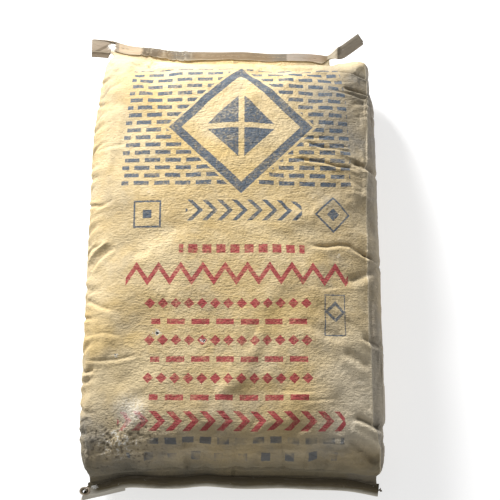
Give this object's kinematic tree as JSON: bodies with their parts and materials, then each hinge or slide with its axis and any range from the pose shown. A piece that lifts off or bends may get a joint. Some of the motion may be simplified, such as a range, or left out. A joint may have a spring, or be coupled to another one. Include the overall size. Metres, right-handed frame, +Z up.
{
  "type": "cement bag",
  "caption": "Filled cement bag lying on its back: a plump kraft and woven sack, flat at both sewn ends, each bound with a folded paper tape.",
  "frame": {"origin": "on the floor, under the middle of the bag, on its flat underside", "axes": "+Z up out of the printed face, +Y from the foot of the bag to its head, +X to the reader's right"},
  "size_m": [0.4321, 0.6967, 0.135],
  "materials": {
    "kraft_weave": "matte kraft paper face on a woven plastic sleeve, printed, dusty",
    "crepe_tape": "matte wrinkled crepe paper tape, folded over",
    "sewing_thread": "matte spun sewing thread"
  },
  "bodies": {
    "root": {"sack": "kraft_weave", "head_tape": "crepe_tape", "foot_tape": "crepe_tape", "head_stitching": "sewing_thread", "foot_stitching": "sewing_thread"}
  },
  "joints": []
}
